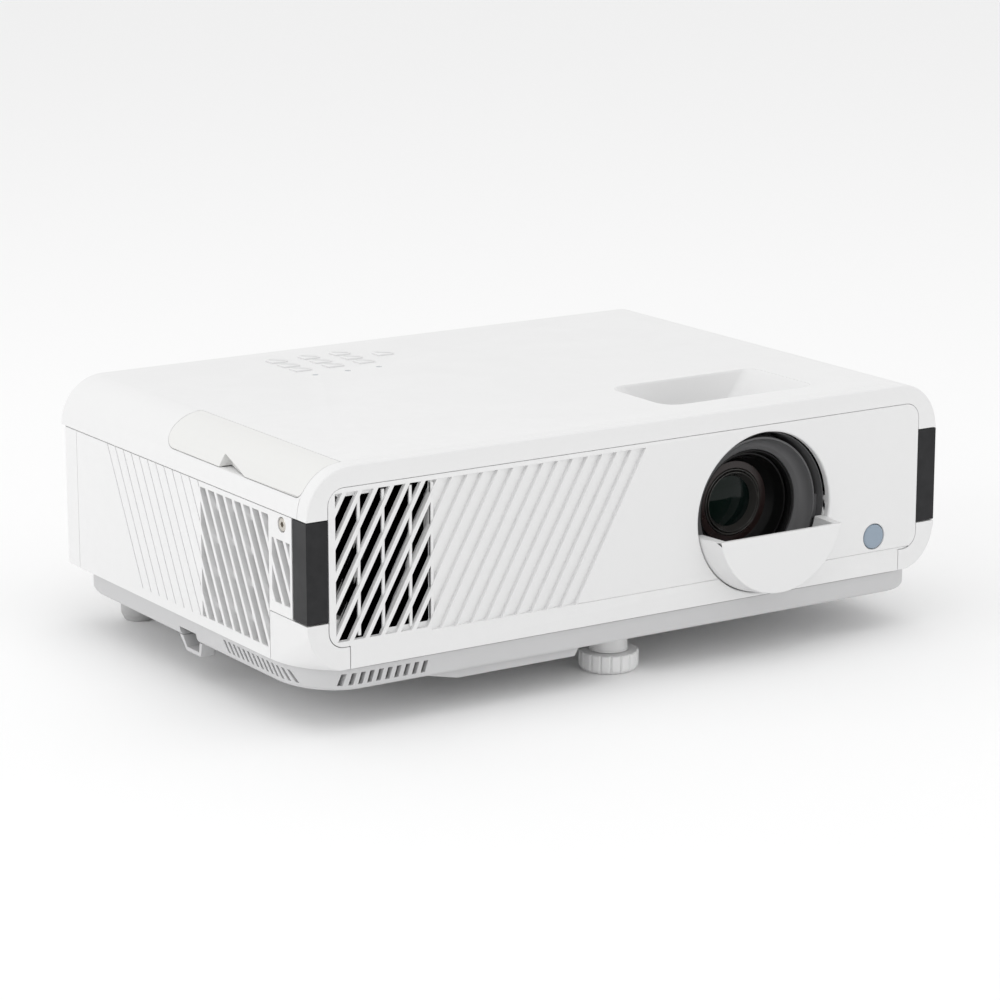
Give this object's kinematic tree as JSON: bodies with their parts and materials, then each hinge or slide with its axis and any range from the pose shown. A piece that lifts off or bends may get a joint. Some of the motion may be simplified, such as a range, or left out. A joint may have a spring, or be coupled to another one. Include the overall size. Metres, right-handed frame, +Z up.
{
  "type": "home projector",
  "caption": "Compact white home projector with an offset lens, slatted vents, keypad, lamp door, turning fans and an adjustable front foot.",
  "frame": {"origin": "on the table under the middle of the whole object, the lens lip included", "axes": "+X to the object's left as it faces the screen, the side nearer the lens; +Y to the rear, where the sockets are; +Z up"},
  "size_m": [0.312, 0.222, 0.1089],
  "materials": {
    "shell_white": "fine satin moulded plastic",
    "base_grey": "fine satin moulded plastic",
    "satin_black": "satin",
    "lens_black": "matt",
    "shroud_grey": "satin",
    "lens_glass": "coated",
    "window_blue": "gloss",
    "steel": "nickel plated",
    "cast_metal": "cast",
    "board_green": "solder mask",
    "foot_rubber": "matt"
  },
  "bodies": {
    "housing": {"ac_inlet": "lens_black", "audio_in_jack": "lens_black", "audio_out_jack": "lens_black", "base_tray": "base_grey", "chip_heat_sink": "cast_metal", "colour_wheel_motor": "cast_metal", "corner_insert_left": "satin_black", "corner_insert_right": "satin_black", "exhaust_fan_frame": "satin_black", "front_bezel": "shell_white", "front_panel": "shell_white", "hdmi_port_1": "steel", "hdmi_port_2": "steel", "imaging_board": "board_green", "intake_fan_frame": "satin_black", "ir_window": "window_blue", "keypad_board": "board_green", "lamp_module": "shroud_grey", "lens_barrel": "lens_black", "lens_lip": "shell_white", "lens_shroud": "shroud_grey", "main_board": "board_green", "optical_engine": "cast_metal", "power_board": "board_green", "rear_foot_left": "foot_rubber", "rear_foot_right": "foot_rubber", "rear_panel": "shell_white", "ring_well": "shell_white", "security_bar": "base_grey", "side_panel_left": "shell_white", "side_panel_right": "shell_white", "socket_plate": "base_grey", "speaker": "satin_black", "status_light_1": "window_blue", "status_light_2": "window_blue", "status_light_3": "window_blue", "top_cover": "shell_white", "usb_port": "steel"},
    "lamp_door": {"lamp_door": "shell_white"},
    "lamp_screw": {"lamp_door_screw": "steel"},
    "focus_ring": {"focus_ring": "lens_black"},
    "focus_lens": {"lens_front_cell": "lens_black", "lens_front_glass": "lens_glass"},
    "zoom_ring": {"zoom_ring": "lens_black"},
    "zoom_lens": {"zoom_lens_group": "lens_black"},
    "exhaust_rotor": {"exhaust_fan_rotor": "satin_black"},
    "intake_rotor": {"intake_fan_rotor": "satin_black"},
    "colour_wheel": {"colour_wheel": "steel"},
    "foot_stem": {"front_foot_stem": "shell_white"},
    "foot_knob": {"front_foot_knob": "shell_white"},
    "key_down": {"key_down": "shell_white"},
    "key_enter": {"key_enter": "shell_white"},
    "key_exit": {"key_exit": "shell_white"},
    "key_help": {"key_help": "shell_white"},
    "key_left": {"key_left": "shell_white"},
    "key_menu": {"key_menu": "shell_white"},
    "key_power": {"key_power": "shell_white"},
    "key_right": {"key_right": "shell_white"},
    "key_source": {"key_source": "shell_white"},
    "key_up": {"key_up": "shell_white"}
  },
  "joints": [
    {"name": "lamp_door_hinge", "type": "hinge", "parent": "housing", "child": "lamp_door", "pos_m": [-0.1365, -0.036, 0.108], "axis": [0, 1, 0], "range_deg": [0, 70]},
    {"name": "lamp_screw_turn", "type": "hinge", "parent": "housing", "child": "lamp_screw", "pos_m": [-0.156, -0.0801, 0.0832], "axis": [-1, 0, 0], "range_deg": [0, 1080]},
    {"name": "focus_ring_turn", "type": "hinge", "parent": "housing", "child": "focus_ring", "pos_m": [0.0643, -0.0702, 0.0621], "axis": [0, 1, 0], "range_deg": [-30, 30]},
    {"name": "focus_lens_slide", "type": "slide", "parent": "housing", "child": "focus_lens", "axis": [0, -1, 0], "range_m": [-0.0021, 0.0021]},
    {"name": "zoom_ring_turn", "type": "hinge", "parent": "housing", "child": "zoom_ring", "pos_m": [0.0643, -0.0542, 0.0621], "axis": [0, 1, 0], "range_deg": [-30, 30]},
    {"name": "zoom_lens_slide", "type": "slide", "parent": "housing", "child": "zoom_lens", "axis": [0, -1, 0], "range_m": [-0.0043, 0.0043]},
    {"name": "exhaust_fan_spin", "type": "hinge", "parent": "housing", "child": "exhaust_rotor", "pos_m": [-0.117, -0.071, 0.061], "axis": [0, 1, 0], "continuous": true},
    {"name": "intake_fan_spin", "type": "hinge", "parent": "housing", "child": "intake_rotor", "pos_m": [0.1405, -0.04, 0.057], "axis": [1, 0, 0], "continuous": true},
    {"name": "colour_wheel_spin", "type": "hinge", "parent": "housing", "child": "colour_wheel", "pos_m": [-0.028, 0.016, 0.056], "axis": [1, 0, 0], "continuous": true},
    {"name": "foot_extend", "type": "slide", "parent": "housing", "child": "foot_stem", "axis": [0, 0, -1], "range_m": [0, 0.0121]},
    {"name": "foot_turn", "type": "hinge", "parent": "foot_stem", "child": "foot_knob", "pos_m": [0, -0.078, 0], "axis": [0, 0, 1], "range_deg": [0, 2160]},
    {"name": "key_down_press", "type": "slide", "parent": "housing", "child": "key_down", "axis": [0, 0, -1], "range_m": [0, 0.0008], "stiffness_N_per_m": 600},
    {"name": "key_enter_press", "type": "slide", "parent": "housing", "child": "key_enter", "axis": [0, 0, -1], "range_m": [0, 0.0008], "stiffness_N_per_m": 600},
    {"name": "key_exit_press", "type": "slide", "parent": "housing", "child": "key_exit", "axis": [0, 0, -1], "range_m": [0, 0.0008], "stiffness_N_per_m": 600},
    {"name": "key_help_press", "type": "slide", "parent": "housing", "child": "key_help", "axis": [0, 0, -1], "range_m": [0, 0.0008], "stiffness_N_per_m": 600},
    {"name": "key_left_press", "type": "slide", "parent": "housing", "child": "key_left", "axis": [0, 0, -1], "range_m": [0, 0.0008], "stiffness_N_per_m": 600},
    {"name": "key_menu_press", "type": "slide", "parent": "housing", "child": "key_menu", "axis": [0, 0, -1], "range_m": [0, 0.0008], "stiffness_N_per_m": 600},
    {"name": "key_power_press", "type": "slide", "parent": "housing", "child": "key_power", "axis": [0, 0, -1], "range_m": [0, 0.0008], "stiffness_N_per_m": 600},
    {"name": "key_right_press", "type": "slide", "parent": "housing", "child": "key_right", "axis": [0, 0, -1], "range_m": [0, 0.0008], "stiffness_N_per_m": 600},
    {"name": "key_source_press", "type": "slide", "parent": "housing", "child": "key_source", "axis": [0, 0, -1], "range_m": [0, 0.0008], "stiffness_N_per_m": 600},
    {"name": "key_up_press", "type": "slide", "parent": "housing", "child": "key_up", "axis": [0, 0, -1], "range_m": [0, 0.0008], "stiffness_N_per_m": 600}
  ],
  "couplings": [
    {"joint": "focus_lens_slide", "follows": "focus_ring_turn", "m_per_rad": 0.0038},
    {"joint": "zoom_lens_slide", "follows": "zoom_ring_turn", "m_per_rad": 0.008},
    {"joint": "foot_extend", "follows": "foot_turn", "m_per_rad": 0.00031831}
  ]
}
